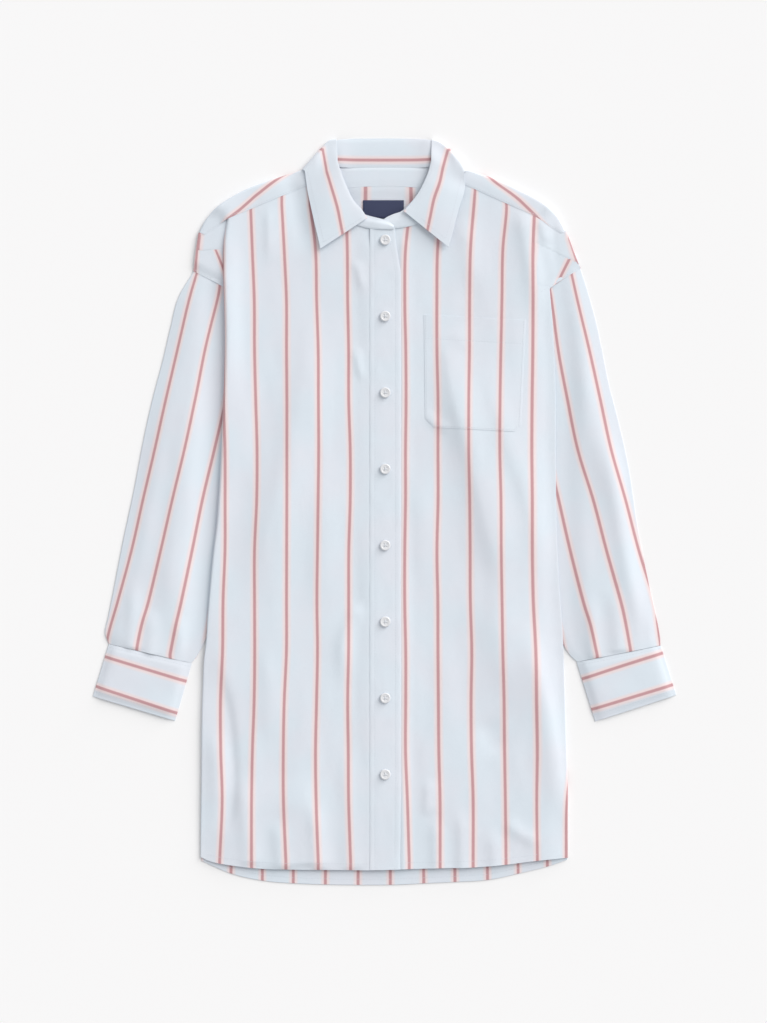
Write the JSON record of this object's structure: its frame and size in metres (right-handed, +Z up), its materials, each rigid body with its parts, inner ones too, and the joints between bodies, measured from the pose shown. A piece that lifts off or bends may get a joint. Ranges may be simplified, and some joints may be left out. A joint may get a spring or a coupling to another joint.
{
  "type": "shirt dress",
  "caption": "Long-sleeved striped shirt dress with collar, button placket, chest pocket and curved hem, buttoned and laid flat on its back.",
  "frame": {"origin": "centre of the footprint, on the surface that the dress lies on", "axes": "+Y from hem to collar, +X to the wearer's left, +Z up from the surface, out of the front"},
  "size_m": [0.6414, 0.8217, 0.0101],
  "materials": {
    "poplin": "matt woven cotton",
    "woven_label": "satin woven",
    "button": "pearly gloss"
  },
  "bodies": {
    "root": {"back": "poplin", "front_right": "poplin", "front_left": "poplin", "yoke": "poplin", "sleeve_right": "poplin", "sleeve_left": "poplin", "cuff_right": "poplin", "cuff_left": "poplin", "placket": "poplin", "pocket": "poplin", "collar_stand": "poplin", "collar": "poplin", "neck_label": "woven_label", "button_1": "button", "button_2": "button", "button_3": "button", "button_4": "button", "button_5": "button", "button_6": "button", "button_7": "button", "button_8": "button"}
  },
  "joints": []
}
